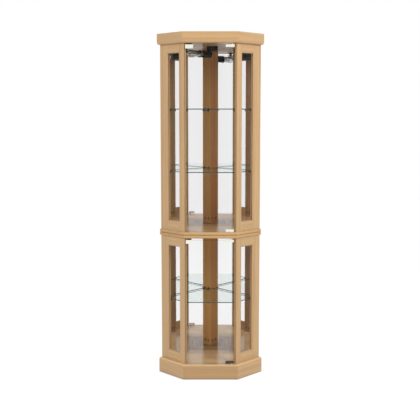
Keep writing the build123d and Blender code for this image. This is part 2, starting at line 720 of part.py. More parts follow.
plinth = moulding_set(plinth_profile(), PLINTH_OVERHANG, GLIDE_HEIGHT, PLINTH_TOP)
for side, board in zip(("front", "left", "right"), plinth):
    save(f"plinth_{side}", board)
save("plinth_rear_rails", rear_rails(GLIDE_HEIGHT, LOWER_FLOOR - BOARD_THICKNESS))
save("glide_feet", Compound(children=glides()))

lower_floor_board = prism(plan(BOARD_OVERHANG), LOWER_FLOOR - BOARD_THICKNESS, LOWER_FLOOR)
save("lower_floor_panel", lower_floor_board - pivot_hole(LOWER_FLOOR - BUSH_DEPTH, LOWER_FLOOR))
lower_top = with_bolt_holes(bead_board(LOWER_CEILING))
save("lower_top_panel", lower_top - pivot_hole(LOWER_CEILING, LOWER_CEILING + BUSH_DEPTH))
upper_floor_board = with_bolt_holes(bead_board(UPPER_FLOOR - BOARD_THICKNESS))
save("upper_floor_panel", upper_floor_board - pivot_hole(UPPER_FLOOR - BUSH_DEPTH, UPPER_FLOOR))
upper_top = prism(plan(BOARD_OVERHANG), UPPER_CEILING, UPPER_CEILING + BOARD_THICKNESS)
upper_top -= pivot_hole(UPPER_CEILING, UPPER_CEILING + BUSH_DEPTH)
upper_top -= upright(GROMMET_RADIUS, LAMP_BASE_X, LAMP_BASE_Y, UPPER_CEILING, UPPER_CEILING + BOARD_THICKNESS)
save("upper_top_panel", upper_top)

cornice = moulding_set(cornice_profile(), CORNICE_OVERHANG, UPPER_CEILING, CORNICE_TOP)
for side, board in zip(("front", "left", "right"), cornice):
    save(f"cornice_{side}", board)
save("cornice_rear_rails", rear_rails(UPPER_CEILING + BOARD_THICKNESS, CORNICE_TOP - REAR_RAIL_DROP))

save("lower_shelf", shelf(lower_shelf_height))
save("upper_shelf_low", shelf(upper_shelf_heights[0]))
save("upper_shelf_high", shelf(upper_shelf_heights[1]))
supports = []
for height in [lower_shelf_height, *upper_shelf_heights]:
    supports += shelf_supports(height)
save("shelf_supports", Compound(children=supports))

bush_places = [(LOWER_FLOOR, -1), (LOWER_CEILING, 1), (UPPER_FLOOR, -1), (UPPER_CEILING, 1)]
save("hinge_bushes", Compound(children=[hinge_bush(z, up) for z, up in bush_places]))
save("latch_bodies", Compound(children=[latch_body(LOWER_CEILING), latch_body(UPPER_CEILING)]))
save("stacking_bolts", Compound(children=stacking_bolts()))
save("lamp_base", lamp_base())
save("lamp_socket", lamp_socket())
save("lamp_bulb", lamp_bulb())
save("cable_grommet", grommet())
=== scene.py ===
import math

import bmesh
import bpy
from mathutils import Matrix, Vector


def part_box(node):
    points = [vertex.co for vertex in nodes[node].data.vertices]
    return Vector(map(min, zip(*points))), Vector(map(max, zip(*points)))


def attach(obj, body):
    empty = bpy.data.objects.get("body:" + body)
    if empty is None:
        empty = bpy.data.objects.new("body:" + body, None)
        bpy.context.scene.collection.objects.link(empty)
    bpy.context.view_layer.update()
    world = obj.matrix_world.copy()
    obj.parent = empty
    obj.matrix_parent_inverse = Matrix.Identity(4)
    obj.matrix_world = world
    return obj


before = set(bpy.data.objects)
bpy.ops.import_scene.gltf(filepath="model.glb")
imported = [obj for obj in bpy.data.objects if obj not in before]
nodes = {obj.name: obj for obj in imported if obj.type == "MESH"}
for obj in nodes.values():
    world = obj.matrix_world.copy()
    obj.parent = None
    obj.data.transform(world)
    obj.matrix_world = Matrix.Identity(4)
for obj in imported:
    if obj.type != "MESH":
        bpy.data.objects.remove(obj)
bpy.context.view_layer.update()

# Corner curio cabinet: finishes, small fittings, studio and camera. Metres, +Z up, the front faces -Y.

scene = bpy.context.scene
MM = 0.001
UNITS = ("lower", "upper")

# Grain headings in plan, in degrees, of boards along the front and along each return
ALONG_FRONT = 0
ALONG_RIGHT_RETURN = 45
ALONG_LEFT_RETURN = -45

# Colours, linear
OAK_LIGHT = (0.66, 0.425, 0.205, 1)
OAK_MID = (0.56, 0.335, 0.145, 1)
OAK_DARK = (0.40, 0.215, 0.080, 1)
OAK_PORE = (0.30, 0.150, 0.055, 1)
# Painted light: paler oak on the front of the lower floor, and a painted highlight on the plinth's top
# edges
OAK_PAINTED_LIGHT = (0.82, 0.56, 0.30, 1)
# Painted shade on the faces that look into the cabinet, a lighter and a darker side for each: the
# upper centre post, the lower centre post, which is painted lighter, the side posts, and the floors in
# one colour
PAINTED_SHADE_GOLD = (0.62, 0.315, 0.090, 1)
PAINTED_SHADE_RED = (0.54, 0.225, 0.075, 1)
PAINTED_LIGHT_AMBER = (0.80, 0.42, 0.105, 1)
PAINTED_LIGHT_COPPER = (0.72, 0.32, 0.090, 1)
PAINTED_SHADE_GOLD_DEEP = (0.40, 0.205, 0.055, 1)
PAINTED_SHADE_RED_DEEP = (0.36, 0.150, 0.045, 1)
PAINTED_SHADE_UMBER = (0.22, 0.115, 0.045, 1)
HARDBOARD_LIGHT = (0.30, 0.185, 0.095, 1)
HARDBOARD_DARK = (0.17, 0.095, 0.045, 1)
GLASS_TINT = (0.9934, 0.9917, 0.9924, 1)
SHELF_TINT = (0.905, 0.947, 0.932, 1)
PANE_REFLECTION = (0.30, 0.31, 0.31, 1)
SHELF_REFLECTION = (0.94, 0.97, 0.96, 1)
GLASS_EDGE_DARK = (0.014, 0.034, 0.027, 1)
GLASS_EDGE_LIGHT = (0.035, 0.075, 0.058, 1)
MIRROR_SILVER = (0.957, 0.957, 0.957, 1)
BULB_TINT = (0.93, 0.94, 0.94, 1)
BULB_REFLECTION = (0.62, 0.63, 0.63, 1)
BULB_PAINTED_DARK_RIM = (0.012, 0.012, 0.013, 1)
PLATED_LIGHT = (0.90, 0.90, 0.78, 1)
PLATED_DARK = (0.82, 0.81, 0.69, 1)
LOW_CLIP_DARK = (0.060, 0.052, 0.030, 1)
LOW_CLIP_LIGHT = (0.100, 0.088, 0.052, 1)
POLISHED = (0.95, 0.95, 0.93, 1)
LAMP_BLACK_DARK = (0.006, 0.006, 0.007, 1)
LAMP_BLACK_LIGHT = (0.013, 0.012, 0.012, 1)
SOCKET_RING = (0.26, 0.25, 0.22, 1)
FLOOR_PAINT_DARK = (0.155, 0.155, 0.155, 1)
FLOOR_PAINT_LIGHT = (0.17, 0.17, 0.17, 1)
FLOOR_BOUNCE = (0.75, 0.75, 0.75, 1)
SKY_LIGHT = (1.0, 0.99, 0.975, 1)
WHITE = (1, 1, 1, 1)


# Node helpers


def new_material(name):
    """An empty node material, its node tree and the socket that takes its shader."""
    material = bpy.data.materials.new(name)
    material.use_nodes = True
    tree = material.node_tree
    tree.nodes.clear()
    output = tree.nodes.new("ShaderNodeOutputMaterial")
    return material, tree, output.inputs["Surface"]


def fill(tree, socket, value):
    """Links a socket to another one, or sets its constant."""
    if isinstance(value, bpy.types.NodeSocket):
        tree.links.new(value, socket)
    else:
        socket.default_value = value


def add_node(tree, kind, sockets=None, **settings):
    """A node with its own settings, and what its sockets take."""
    made = tree.nodes.new(kind)
    for key, value in settings.items():
        setattr(made, key, value)
    for key, value in (sockets or {}).items():
        fill(tree, made.inputs[key], value)
    return made


def coordinates(tree, kind):
    return add_node(tree, "ShaderNodeTexCoord").outputs[kind]


def geometry(tree, kind):
    return add_node(tree, "ShaderNodeNewGeometry").outputs[kind]


def stretched(tree, vector, scale, offset=(0, 0, 0)):
    sockets = {"Vector": vector, "Scale": scale, "Location": offset}
    return add_node(tree, "ShaderNodeMapping", sockets).outputs["Vector"]


def object_coordinates(tree, matrix=None, scale=(1, 1, 1), offset=(0, 0, 0)):
    """Object coordinates, turned by a matrix, then stretched and moved."""
    turned = add_node(tree, "ShaderNodeMapping", {"Vector": coordinates(tree, "Object")})
    if matrix is not None:
        turned.inputs["Rotation"].default_value = matrix.to_euler("XYZ")
    return stretched(tree, turned.outputs["Vector"], scale, offset)


def noise(tree, vector, scale=1.0, detail=3.0, roughness=0.5, distortion=0.0):
    sockets = {
        "Vector": vector,
        "Scale": scale,
        "Detail": detail,
        "Roughness": roughness,
        "Distortion": distortion,
    }
    return add_node(tree, "ShaderNodeTexNoise", sockets).outputs["Fac"]


def span(tree, value, low, high, to_low=0.0, to_high=1.0):
    """A value mapped from one range to another, and clamped."""
    sockets = {
        "Value": value,
        "From Min": low,
        "From Max": high,
        "To Min": to_low,
        "To Max": to_high,
    }
    return add_node(tree, "ShaderNodeMapRange", sockets).outputs["Result"]


def calculate(tree, operation, first, second=0.0):
    """A sum, product or other mathematics of a socket and a socket or number."""
    made = add_node(tree, "ShaderNodeMath", {0: first, 1: second}, operation=operation)
    return made.outputs["Value"]


def product(tree, first, second):
    return calculate(tree, "MULTIPLY", first, second)


def part_along(tree, vector, direction):
    """How much of a vector lies along a direction."""
    sockets = {0: vector, 1: direction}
    made = add_node(tree, "ShaderNodeVectorMath", sockets, operation="DOT_PRODUCT")
    return made.outputs["Value"]


def parts(tree, vector):
    """The X, Y and Z of a vector."""
    return add_node(tree, "ShaderNodeSeparateXYZ", {"Vector": vector}).outputs


def mix_colour(tree, factor, first, second):
    """A mix of two colours, each a socket or a constant."""
    sockets = {"Factor": factor, 6: first, 7: second}
    return add_node(tree, "ShaderNodeMix", sockets, data_type="RGBA").outputs[2]


def bump(tree, height, distance):
    sockets = {"Height": height, "Distance": distance, "Strength": 1.0}
    return add_node(tree, "ShaderNodeBump", sockets).outputs["Normal"]


def shader(tree, kind, sockets):
    """What a shader node gives."""
    return add_node(tree, kind, sockets).outputs[0]


def mix_shaders(tree, factor, first, second):
    return shader(tree, "ShaderNodeMixShader", {0: factor, 1: first, 2: second})


def principled(tree, sockets):
    return shader(tree, "ShaderNodeBsdfPrincipled", sockets)


def facing(tree, direction):
    """1 on faces of the object that point along a direction, and 0 on those that point away."""
    return span(tree, part_along(tree, coordinates(tree, "Normal"), direction), 0.2, 0.5)


# Wood. Outside and on the side posts the lacquer is SATIN, on the centre posts MATT, on the lower
# and the upper floor GLOSSY and WORN_GLOSS, and on the top boards SEMI_GLOSS

SATIN = {"rough": 0.38, "specular": 0.5, "coat": 0.35}
MATT = {"rough": 0.5, "specular": 0.12, "coat": 0.0}
GLOSSY = {"rough": 0.22, "specular": 0.5, "coat": 0.3}
WORN_GLOSS = {"rough": 0.24, "specular": 0.36, "coat": 0.0}
SEMI_GLOSS = {"rough": 0.34, "specular": 0.3, "coat": 0.0}

# Painted shade on the faces of a board that look into the cabinet: the way they point, their painted
# colours on the left and on the right, and, on a floor, how much paler its front towards the door is
# painted, a painted light
INSIDE_SIDE = {
    "left": {"way": (1, 0, 0), "left": PAINTED_SHADE_GOLD_DEEP, "right": PAINTED_SHADE_RED_DEEP},
    "right": {"way": (-1, 0, 0), "left": PAINTED_SHADE_GOLD_DEEP, "right": PAINTED_SHADE_RED_DEEP},
}
INSIDE_CENTRE = {
    "lower": {"way": (0, -1, 0), "left": PAINTED_LIGHT_AMBER, "right": PAINTED_LIGHT_COPPER},
    "upper": {"way": (0, -1, 0), "left": PAINTED_SHADE_GOLD, "right": PAINTED_SHADE_RED},
}
INSIDE_FLOOR = {
    "lower": {"way": (0, 0, 1), "left": PAINTED_SHADE_UMBER, "right": PAINTED_SHADE_UMBER, "pale": 0.5},
    "upper": {"way": (0, 0, 1), "left": PAINTED_SHADE_UMBER, "right": PAINTED_SHADE_UMBER, "pale": 0.0},
}
FLOOR_LACQUER = {"lower": GLOSSY, "upper": WORN_GLOSS}

# How much a board is darkened: painted shade on the faces into the cabinet of the side posts and of
# the centre posts and floors, and an even darkening of the plinth's front; and how strong the painted
# highlight on the plinth's top edges is
SIDE_POST_PAINTED_SHADE = 0.75
INNER_BOARD_PAINTED_SHADE = 0.8
PLINTH_FRONT_DARKENING = 0.40
PLINTH_PAINTED_HIGHLIGHT = 0.55

# Where a floor's painted shade starts from front to rear, and where it is darkest; over the same span
# the painted light on its front fades
FLOOR_PAINTED_LIGHT_TO = -30 * MM
FLOOR_FULL_SHADE_FROM = 100 * MM

# How often each mark of the wood comes in a metre, along the grain and both ways across it
STREAKS = (2.2, 85, 85)
FIGURE = (1.3, 15, 15)
ARCHES = (1.1, 12, 12)
PORES = (28, 900, 900)
BANDS = (0.9, 48, 48)
BOARD_TONE = (0.7, 1.6, 1.6)
TONE_SPREAD = 0.16

# How far the pattern moves from one board to the next, along the grain and both ways across it
SEED_STEP = Vector((1.37, 0.61, 0.83))


def grain_matrix(heading, upright):
    """Turns object coordinates so that the grain runs along X, with Y across the face."""
    level = Matrix.Rotation(math.radians(-heading), 3, "Z")
    if upright:
        return Matrix.Rotation(math.radians(90), 3, "Y") @ level
    return level


def oak_pattern(tree, along):
    """The colour of plain oak, its streaks and its pores."""
    streaks = noise(tree, stretched(tree, along, STREAKS), detail=5, roughness=0.6)
    clouds = noise(tree, stretched(tree, along, FIGURE), detail=2, distortion=0.35)
    waves = {
        "Vector": stretched(tree, along, ARCHES),
        "Scale": 1.0,
        "Distortion": 1.6,
        "Detail": 2.0,
        "Detail Scale": 0.6,
    }
    rings = {"wave_type": "RINGS", "rings_direction": "X", "wave_profile": "SAW"}
    arches = add_node(tree, "ShaderNodeTexWave", waves, **rings).outputs["Fac"]
    pore_noise = noise(tree, stretched(tree, along, PORES), detail=2, roughness=0.7)
    pores = span(tree, pore_noise, 0.60, 0.68)
    base = mix_colour(tree, span(tree, streaks, 0.30, 0.72), OAK_LIGHT, OAK_MID)
    figure = product(tree, span(tree, arches, 0.35, 1.0), span(tree, clouds, 0.42, 0.66))
    figured = mix_colour(tree, product(tree, figure, 0.55), base, OAK_DARK)
    return mix_colour(tree, product(tree, pores, 0.35), figured, OAK_PORE), streaks, pores


def painted_rear_shade(tree):
    """The mask of a floor's painted shade: 0 on the front half, and up to 1 towards the rear corner.
    """
    place = parts(tree, object_coordinates(tree))
    return span(tree, place["Y"], FLOOR_PAINTED_LIGHT_TO, FLOOR_FULL_SHADE_FROM)


def inside_painted_shade(tree, along, plain, coat, shade, inside):
    """The colour and the coat of a board whose faces into the cabinet carry painted shade, in streaks,
    in a painted colour for each side. On a floor the painted shade grows towards the rear and the
    front is painted paler, a painted light; on a post those faces lose their coat.
    """
    bands = noise(tree, stretched(tree, along, BANDS), detail=2)
    amount = span(tree, bands, 0.30, 0.66, shade * 0.6, shade * 1.4)
    faces = facing(tree, inside["way"])
    # On a floor: painted shade that grows towards the rear, and painted light that makes the front
    # paler
    if "pale" in inside:
        depth = painted_rear_shade(tree)
        amount = product(tree, amount, depth)
        front = product(tree, faces, span(tree, depth, 0, 1, inside["pale"], 0))
        plain = mix_colour(tree, front, plain, OAK_PAINTED_LIGHT)
    else:
        coat = span(tree, faces, 0, 1, coat, 0)
    # The painted shade's colour, one for each side, so that one side of a post is painted lighter
    deep = mix_colour(tree, facing(tree, (1, 0, 0)), inside["left"], inside["right"])
    return mix_colour(tree, product(tree, faces, amount), plain, deep), coat


def oak(name, heading, upright, seed, shade=0.0, finish=SATIN, inside=None, painted_highlight=0.0):
    """Light oak laminate. seed moves the pattern, finish is its lacquer, and shade darkens it.
    Where inside is given, the darkening is painted shade on only the faces that point into the
    cabinet, in painted colours of their own. The last argument paints a highlight on the faces that
    point up."""
    material, tree, surface = new_material(name)
    along = object_coordinates(tree, grain_matrix(heading, upright), offset=SEED_STEP * seed)
    colour, streaks, pores = oak_pattern(tree, along)
    tone = noise(tree, stretched(tree, along, BOARD_TONE), detail=1)
    evenly = 0.0 if inside else shade
    darker = span(tree, tone, 0.25, 0.75, evenly, evenly + TONE_SPREAD)
    colour = mix_colour(tree, darker, colour, OAK_DARK)
    coat = finish["coat"]
    if inside:
        colour, coat = inside_painted_shade(tree, along, colour, coat, shade, inside)
    # Painted highlight: the faces that point up are painted paler
    if painted_highlight:
        edge = product(tree, facing(tree, (0, 0, 1)), painted_highlight)
        colour = mix_colour(tree, edge, colour, OAK_PAINTED_LIGHT)
    height = calculate(tree, "SUBTRACT", streaks, product(tree, pores, 0.8))
    rough = finish["rough"]
    sockets = {
        "Base Color": colour,
        "Roughness": span(tree, streaks, 0.2, 0.8, rough + 0.04, rough - 0.04),
        "Specular IOR Level": finish["specular"],
        "Coat Weight": coat,
        "Coat Roughness": 0.22,
        "Normal": bump(tree, height, 0.12 * MM),
    }
    fill(tree, surface, principled(tree, sockets))
    return material


def hardboard():
    """Raw pressed board with short dark fibres."""
    material, tree, surface = new_material("hardboard")
    plain = object_coordinates(tree)
    fibres = noise(tree, plain, scale=900, detail=4, roughness=0.7)
    clouds = span(tree, noise(tree, plain, scale=7), 0.3, 0.7, 0.0, 0.35)
    tone = mix_colour(tree, span(tree, fibres, 0.35, 0.7), HARDBOARD_LIGHT, HARDBOARD_DARK)
    sockets = {
        "Base Color": mix_colour(tree, clouds, tone, HARDBOARD_DARK),
        "Roughness": span(tree, fibres, 0.2, 0.8, 0.6, 0.8),
        "Normal": bump(tree, fibres, 0.1 * MM),
    }
    fill(tree, surface, principled(tree, sockets))
    return material


# Glass and mirror

GLASS_IOR = 1.5
SHEET_HAZE = 0.02
EDGE_COVER = 0.92

# How far a mirror's shading normal is turned at the middle of the cabinet, and a half span away at its
# front
MIRROR_HALF_SPAN = 0.222
MIRROR_LEAN_REAR = math.radians(-1.6)
MIRROR_LEAN_FRONT = math.radians(0.56)


def outer_reflection(tree):
    """How much a sheet reflects where light enters it. Straight rays would wrongly be trapped
    where they leave it."""
    fresnel = add_node(tree, "ShaderNodeFresnel", {"IOR": GLASS_IOR}).outputs["Fac"]
    return product(tree, fresnel, span(tree, geometry(tree, "Backfacing"), 0, 1, 1, 0))


def glossy(tree, colour, rough):
    return shader(tree, "ShaderNodeBsdfGlossy", {"Color": colour, "Roughness": rough})


def clear_sheet(name, tint, reflection, thin_axis=None):
    """Clear sheet glass that lets the studio light through, with green polished edges. thin_axis
    is the sheet's thin axis, or None where every edge is hidden in a groove. From inside, the
    front edge is as clear as the faces."""
    material, tree, surface = new_material(name)
    smears = noise(tree, object_coordinates(tree), scale=9, detail=4, roughness=0.65)
    clear = shader(tree, "ShaderNodeBsdfTransparent", {"Color": tint})
    gloss = glossy(tree, reflection, span(tree, smears, 0.3, 0.8, 0.0, SHEET_HAZE))
    sheet = mix_shaders(tree, outer_reflection(tree), clear, gloss)
    if thin_axis:
        depth = noise(tree, object_coordinates(tree), scale=60, detail=2)
        green = mix_colour(tree, depth, GLASS_EDGE_DARK, GLASS_EDGE_LIGHT)
        edge = principled(tree, {"Base Color": green, "Roughness": 0.12})
        normal = parts(tree, coordinates(tree, "Normal"))
        flat = calculate(tree, "ABSOLUTE", normal[thin_axis])
        outward = span(tree, normal["Y"], 0.8, 0.95, 1, 0)
        on_edge = product(tree, span(tree, flat, 0.80, 0.60), outward)
        sheet = mix_shaders(tree, product(tree, on_edge, EDGE_COVER), sheet, edge)
    fill(tree, surface, sheet)
    return material


def mirror_glass(side):
    """Silvered glass with a trace of haze. side is 1 for the right mirror and -1 for the left.
    Its shading normal is turned about the vertical, by an angle that runs from the middle of the
    cabinet to its front, as if the mirror were bowed by a millimetre and stood a little out of square
    in its loose grooves; this turns its reflections."""
    material, tree, surface = new_material(f"mirror_glass_{'right' if side > 0 else 'left'}")
    haze = noise(tree, object_coordinates(tree), scale=6)
    out = calculate(tree, "ABSOLUTE", parts(tree, object_coordinates(tree))["X"])
    rear = side * MIRROR_LEAN_REAR
    front = side * MIRROR_LEAN_FRONT
    sockets = {
        "Angle": span(tree, out, 0, MIRROR_HALF_SPAN, rear, front),
        "Vector": geometry(tree, "Normal"),
    }
    leaning = add_node(tree, "ShaderNodeVectorRotate", sockets, rotation_type="Z_AXIS")
    sockets = {
        "Base Color": MIRROR_SILVER,
        "Metallic": 1.0,
        "Roughness": span(tree, haze, 0.3, 0.8, 0.0, 0.012),
        "Normal": leaning.outputs["Vector"],
    }
    fill(tree, surface, principled(tree, sockets))
    return material


def bulb_glass():
    """The thin clear glass of the bulb and its stem. Where its upper side turns away it carries a
    painted dark rim, painted shade and the dark ceiling painted as if seen through the glass; below it
    reflects brightly."""
    material, tree, surface = new_material("bulb_glass")
    ripple = noise(tree, object_coordinates(tree), scale=120, detail=2)
    clear = shader(tree, "ShaderNodeBsdfTransparent", {"Color": BULB_TINT})
    gloss = glossy(tree, BULB_REFLECTION, span(tree, ripple, 0.2, 0.8, 0.02, 0.06))
    # Painted dark rim on the upper side: painted shade, and the dark ceiling painted as if seen
    # through the glass
    dark = principled(tree, {"Base Color": BULB_PAINTED_DARK_RIM, "Roughness": 0.2})
    upper = span(tree, parts(tree, geometry(tree, "Normal"))["Z"], -0.1, 0.3)
    rim = add_node(tree, "ShaderNodeLayerWeight", {"Blend": 0.5}).outputs["Facing"]
    turned_away = mix_shaders(tree, upper, gloss, dark)
    fill(tree, surface, mix_shaders(tree, span(tree, rim, 0.10, 0.55), clear, turned_away))
    return material


# Metal, plastic and rubber

# The hinge clip below this height is coloured dark
CLIP_DARK_BELOW = 400 * MM

# How often the fine lines of a metal come in a metre, along each axis
PLATED_LINES = (60, 900, 900)
STEEL_LINES = (300, 300, 300)
TUNGSTEN_LINES = (900, 900, 900)


def metal(name, light, dark, roughness, line_scale):
    """Metal with fine lines in its surface."""
    material, tree, surface = new_material(name)
    lines = noise(tree, object_coordinates(tree, scale=line_scale), detail=4, roughness=0.6)
    spots = noise(tree, object_coordinates(tree), scale=180, detail=2)
    sockets = {
        "Base Color": mix_colour(tree, span(tree, spots, 0.3, 0.75), light, dark),
        "Metallic": 1.0,
        "Roughness": span(tree, lines, 0.3, 0.7, roughness * 0.7, roughness * 1.3),
        "Normal": bump(tree, lines, 0.02 * MM),
    }
    fill(tree, surface, principled(tree, sockets))
    return material


def clip_metal():
    """Plated hinge clips, polished towards the room, with the lowest one coloured dark."""
    material, tree, surface = new_material("hinge_clips")
    lines = noise(tree, object_coordinates(tree, scale=PLATED_LINES), detail=4, roughness=0.6)
    height = parts(tree, object_coordinates(tree))["Z"]
    above = span(tree, height, CLIP_DARK_BELOW - 1 * MM, CLIP_DARK_BELOW + 1 * MM)
    polish = facing(tree, (0, 1, 0))
    brushed = span(tree, lines, 0.3, 0.75)
    plated = mix_colour(tree, brushed, PLATED_LIGHT, PLATED_DARK)
    dark_clip = mix_colour(tree, brushed, LOW_CLIP_DARK, LOW_CLIP_LIGHT)
    outside = mix_colour(tree, above, dark_clip, plated)
    sockets = {
        "Base Color": mix_colour(tree, polish, outside, POLISHED),
        "Metallic": 1.0,
        "Roughness": span(tree, polish, 0, 1, 0.24, 0.03),
    }
    fill(tree, surface, principled(tree, sockets))
    return material


def moulded(name, light, dark, roughness, specular=0.5):
    """Moulded plastic, rubber or paint with a fine skin."""
    material, tree, surface = new_material(name)
    skin = noise(tree, object_coordinates(tree), scale=1400)
    clouds = noise(tree, object_coordinates(tree), scale=35)
    sockets = {
        "Base Color": mix_colour(tree, span(tree, clouds, 0.3, 0.7), light, dark),
        "Roughness": span(tree, skin, 0.25, 0.75, roughness - 0.06, roughness + 0.06),
        "Specular IOR Level": specular,
        "Normal": bump(tree, skin, 0.03 * MM),
    }
    fill(tree, surface, principled(tree, sockets))
    return material


# Lamp, which points to the front left. Its ring starts this far in front of the bulb's rear end

LAMP_DIRECTION = Vector((-1, -1, 0)).normalized()
RING_FROM_BULB_END = 15 * MM


def lamp_start():
    """The bulb's rear end, on its axis."""
    low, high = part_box("lamp_bulb")
    corners = [vertex.co for vertex in nodes["lamp_bulb"].data.vertices]
    across = Vector((LAMP_DIRECTION.y, -LAMP_DIRECTION.x, 0))
    sides = [corner.dot(across) for corner in corners]
    rear = min(corner.dot(LAMP_DIRECTION) for corner in corners)
    start = LAMP_DIRECTION * rear + across * (min(sides) + max(sides)) / 2
    start.z = (low.z + high.z) / 2
    return start


def lamp_black():
    """Black satin paint, with a bare ring at the socket's mouth."""
    material, tree, surface = new_material("lamp_black")
    ring_start = lamp_start().dot(LAMP_DIRECTION) + RING_FROM_BULB_END
    place = coordinates(tree, "Object")
    reach = part_along(tree, place, LAMP_DIRECTION)
    bare = span(tree, reach, ring_start - 0.1 * MM, ring_start + 0.1 * MM)
    skin = noise(tree, place, scale=700)
    black = mix_colour(tree, skin, LAMP_BLACK_DARK, LAMP_BLACK_LIGHT)
    sockets = {
        "Base Color": mix_colour(tree, bare, black, SOCKET_RING),
        "Roughness": span(tree, skin, 0.3, 0.7, 0.30, 0.40),
        "Specular IOR Level": 0.08,
        "Normal": bump(tree, skin, 0.02 * MM),
    }
    fill(tree, surface, principled(tree, sockets))
    return material


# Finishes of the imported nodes


def dress(node, material):
    """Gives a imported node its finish."""
    mesh = nodes[node].data
    mesh.materials.clear()
    mesh.materials.append(material)


def dress_wood():
    """Each wooden piece gets its own board of oak, with its grain along its length."""
    headings = {"left": ALONG_LEFT_RETURN, "right": ALONG_RIGHT_RETURN}
    pieces = []
    for unit in UNITS:
        for side, heading in headings.items():
            # Side posts: painted shade on their faces into the cabinet
            post = (SIDE_POST_PAINTED_SHADE, SATIN, INSIDE_SIDE[side])
            for part in ("front_stile", "rear_stile"):
                pieces.append((f"{unit}_{side}_{part}", heading, True))
            pieces.append((f"{unit}_{side}_post", heading, True, *post))
            pieces.append((f"{unit}_{side}_rails", heading, False))
        # Centre posts and floors: painted shade on their faces into the cabinet, and on the lower
        # floor painted light towards the door
        centre = (INNER_BOARD_PAINTED_SHADE, MATT, INSIDE_CENTRE[unit])
        floor = (INNER_BOARD_PAINTED_SHADE, FLOOR_LACQUER[unit], INSIDE_FLOOR[unit])
        pieces.append((f"{unit}_centre_post", ALONG_RIGHT_RETURN, True, *centre))
        pieces.append((f"{unit}_floor_panel", ALONG_FRONT, False, *floor))
        pieces.append((f"{unit}_top_panel", ALONG_FRONT, False, 0.0, SEMI_GLOSS))
    # The plinth's front is darkened evenly, and the top edges of the plinth get a painted highlight
    for board, shade, painted_highlight in (("plinth", PLINTH_FRONT_DARKENING, PLINTH_PAINTED_HIGHLIGHT), ("cornice", 0.0, 0.0)):
        pieces.append((f"{board}_front", ALONG_FRONT, False, shade, SATIN, None, painted_highlight))
        pieces.append((f"{board}_rear_rails", ALONG_FRONT, False))
        for side, heading in headings.items():
            pieces.append((f"{board}_{side}", heading, False, 0.0, SATIN, None, painted_highlight))
    for seed, (node, heading, upright, *looks) in enumerate(pieces, start=1):
        dress(node, oak(f"oak_{node}", heading, upright, seed, *looks))


def dress_glass():
    window = clear_sheet("clear_glass", GLASS_TINT, PANE_REFLECTION)
    door = clear_sheet("door_glass", GLASS_TINT, PANE_REFLECTION, "Y")
    shelf = clear_sheet("shelf_glass", SHELF_TINT, SHELF_REFLECTION, "Z")
    silver = {"left": mirror_glass(-1), "right": mirror_glass(1)}
    for unit in UNITS:
        dress(f"{unit}_door_glass", door)
        for side in ("left", "right"):
            dress(f"{unit}_{side}_window_glass", window)
            dress(f"{unit}_{side}_mirror", silver[side])
    for node in ("lower_shelf", "upper_shelf_low", "upper_shelf_high"):
        dress(node, shelf)


dress_wood()
dress_glass()

bright_metal = metal("bright_metal", PLATED_LIGHT, PLATED_DARK, 0.2, PLATED_LINES)
steel = metal("steel", (0.56, 0.56, 0.55, 1), (0.45, 0.45, 0.44, 1), 0.34, STEEL_LINES)
tungsten = metal("tungsten", (0.30, 0.30, 0.31, 1), (0.18, 0.18, 0.19, 1), 0.35, TUNGSTEN_LINES)
blackened = moulded("blackened_steel", (0.010, 0.008, 0.006, 1), (0.020, 0.016, 0.012, 1), 0.4, 0.1)
black_plastic = moulded("black_plastic", (0.009, 0.008, 0.007, 1), (0.017, 0.015, 0.013, 1), 0.5)
charcoal = moulded("charcoal_plastic", (0.075, 0.068, 0.060, 1), (0.100, 0.092, 0.082, 1), 0.45)
nylon = moulded("nylon", (0.74, 0.72, 0.66, 1), (0.66, 0.64, 0.58, 1), 0.45)
rubber = moulded("rubber", (0.020, 0.020, 0.020, 1), (0.036, 0.035, 0.034, 1), 0.72)
bulb_envelope = bulb_glass()
lamp_paint = lamp_black()
raw_board = hardboard()
hinge_metal = clip_metal()

for unit in UNITS:
    dress(f"{unit}_back_boards", raw_board)
    dress(f"{unit}_door_strike", bright_metal)
    dress(f"{unit}_latch_plunger", bright_metal)
    dress(f"{unit}_door_hinges", hinge_metal)
for node in ("shelf_supports", "glide_feet"):
    dress(node, black_plastic)
for node in ("lamp_base", "lamp_socket"):
    dress(node, lamp_paint)
dress("lamp_bulb", bulb_envelope)
dress("latch_bodies", charcoal)
dress("stacking_bolts", steel)
dress("hinge_bushes", nylon)
dress("cable_grommet", rubber)


# Small fittings: screw heads, and what stands inside the bulb. They are built from rings of vertices

RING_POINTS = 24


def ring(bm, centre, axes, radius, rise=0.0, shape=None):
    """A ring of vertices round an axis. shape gives the radius at an angle, for a recess that
    isn't round."""
    across, upwards, axis = axes
    made = []
    for step in range(RING_POINTS):
        angle = 2 * math.pi * step / RING_POINTS
        reach = radius * (shape(angle) if shape else 1)
        side = across * math.cos(angle) + upwards * math.sin(angle)
        made.append(bm.verts.new(centre + side * reach + axis * rise))
    return made


def loft(bm, rings):
    """Faces between rings, closed at both ends."""
    bm.faces.new(list(reversed(rings[0])))
    for lower, higher in zip(rings, rings[1:]):
        for step in range(RING_POINTS):
            after = (step + 1) % RING_POINTS
            bm.faces.new((lower[step], lower[after], higher[after], higher[step]))
    bm.faces.new(rings[-1])


def axes_along(direction):
    """Two directions across an axis, and the axis."""
    axis = Vector(direction).normalized()
    helper = Vector((0, 0, 1)) if abs(axis.z) < 0.9 else Vector((1, 0, 0))
    across = axis.cross(helper).normalized()
    return across, axis.cross(across), axis


def hexagon(angle):
    """The radius of a hexagonal socket, as a share of its corner radius."""
    return math.cos(math.radians(30)) / math.cos(angle % math.radians(60) - math.radians(30))


def cross(angle):
    """The radius of a cross recess, as a share of its longest arm."""
    return 0.34 + 0.66 * abs(math.cos(2 * angle)) ** 5


